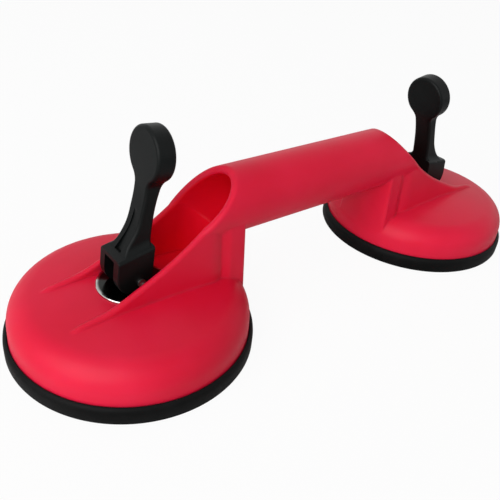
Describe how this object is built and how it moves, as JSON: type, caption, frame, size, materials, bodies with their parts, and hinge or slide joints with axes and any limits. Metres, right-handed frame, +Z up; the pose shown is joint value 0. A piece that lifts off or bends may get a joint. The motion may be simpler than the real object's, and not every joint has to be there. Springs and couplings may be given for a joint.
{
  "type": "double suction cup lifter",
  "caption": "Hand lifter for smooth floor tiles and glass: suction cups joined by a raised tubular handle, each with a cam lever that lifts the pad's middle through a stem.",
  "frame": {"origin": "on the floor, midway between the two cups", "axes": "+X along the handle towards the rear cup, +Z up"},
  "size_m": [0.335, 0.12, 0.1067],
  "materials": {
    "red_plastic": "moulded, semi-gloss",
    "black_plastic": "moulded, satin",
    "rubber": "matt",
    "steel": "zinc plated",
    "spring_steel": "oiled wire"
  },
  "bodies": {
    "housing": {"housing": "red_plastic", "front_pad": "rubber", "front_return_spring": "spring_steel", "front_spring_seat": "steel", "front_cam_washer": "steel", "rear_pad": "rubber", "rear_return_spring": "spring_steel", "rear_spring_seat": "steel", "rear_cam_washer": "steel"},
    "front_stem": {"front_stem": "steel", "front_backing_plate": "steel"},
    "rear_stem": {"rear_stem": "steel", "rear_backing_plate": "steel"},
    "front_lever": {"front_cam_lever": "black_plastic", "front_pivot_pin": "steel"},
    "rear_lever": {"rear_cam_lever": "black_plastic", "rear_pivot_pin": "steel"}
  },
  "joints": [
    {"name": "front_stem_slide", "type": "slide", "parent": "housing", "child": "front_stem", "axis": [0, 0, 1], "range_m": [0, 0.00695], "stiffness_N_per_m": 400, "springref_m": -0.004, "deforming": ["front_return_spring", "front_pad"]},
    {"name": "front_lever_fold", "type": "hinge", "parent": "front_stem", "child": "front_lever", "pos_m": [-0.1075, 0, 0.0353], "axis": [0, -1, 0], "range_deg": [0, 95.5]},
    {"name": "rear_stem_slide", "type": "slide", "parent": "housing", "child": "rear_stem", "axis": [0, 0, 1], "range_m": [0, 0.00695], "stiffness_N_per_m": 400, "springref_m": -0.004, "deforming": ["rear_return_spring", "rear_pad"]},
    {"name": "rear_lever_fold", "type": "hinge", "parent": "rear_stem", "child": "rear_lever", "pos_m": [0.1075, 0, 0.0353], "axis": [0, 1, 0], "range_deg": [0, 100]}
  ],
  "couplings": [
    {"joint": "front_lever_fold", "follows": "front_stem_slide", "rad_per_m": 239.83},
    {"joint": "rear_lever_fold", "follows": "rear_stem_slide", "rad_per_m": 251.13}
  ]
}
